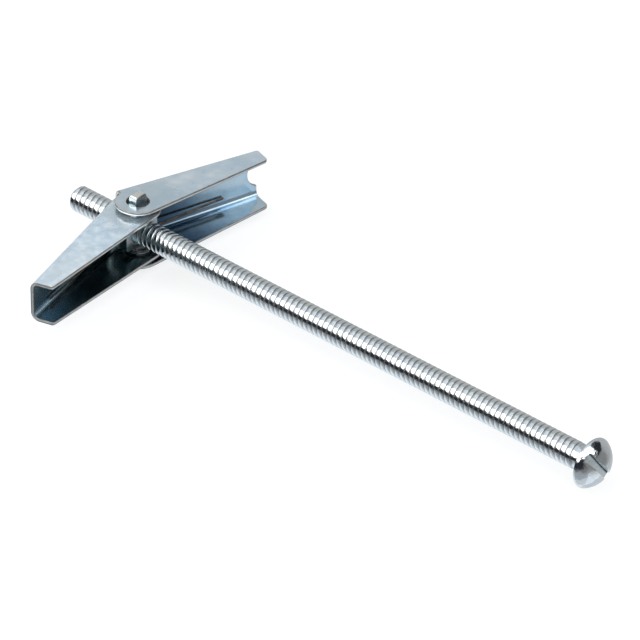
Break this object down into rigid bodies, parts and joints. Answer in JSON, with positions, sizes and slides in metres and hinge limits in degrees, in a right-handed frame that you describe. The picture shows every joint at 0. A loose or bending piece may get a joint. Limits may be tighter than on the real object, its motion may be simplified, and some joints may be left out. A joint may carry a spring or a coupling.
{
  "type": "toggle anchor",
  "caption": "Spring-wing toggle anchor: slotted round-head bolt, trunnion nut, two nested folded-sheet wings and a torsion spring that opens them.",
  "frame": {"origin": "centre of the flat face under the bolt's head, on the bolt's axis", "axes": "+X along the bolt out of its head, so the shank runs along -X; +Y towards the outer wing; +Z along the trunnion axis"},
  "size_m": [0.1236, 0.0567, 0.0144],
  "materials": {
    "bolt_steel": "bright zinc plate",
    "nut_steel": "bright zinc plate",
    "wing_sheet": "blue bright zinc plate",
    "spring_wire": "dark spring steel"
  },
  "bodies": {
    "bolt": {"bolt": "bolt_steel"},
    "nut": {"trunnion_nut": "nut_steel", "torsion_spring": "spring_wire"},
    "outer_wing": {"outer_wing": "wing_sheet"},
    "inner_wing": {"inner_wing": "wing_sheet"}
  },
  "joints": [
    {"name": "nut_travel", "type": "slide", "parent": "bolt", "child": "nut", "axis": [1, 0, 0], "range_m": [-0.0132, 0.0745]},
    {"name": "outer_wing_fold", "type": "hinge", "parent": "nut", "child": "outer_wing", "pos_m": [-0.1051, 0, 0], "axis": [0, 0, -1], "range_deg": [0, 75], "stiffness_Nm_per_rad": 0.015, "springref_deg": -28.65, "deforming": ["torsion_spring"]},
    {"name": "inner_wing_fold", "type": "hinge", "parent": "nut", "child": "inner_wing", "pos_m": [-0.1051, 0, 0], "axis": [0, 0, 1], "range_deg": [0, 75], "stiffness_Nm_per_rad": 0.015, "springref_deg": -28.65, "deforming": ["torsion_spring"]}
  ]
}
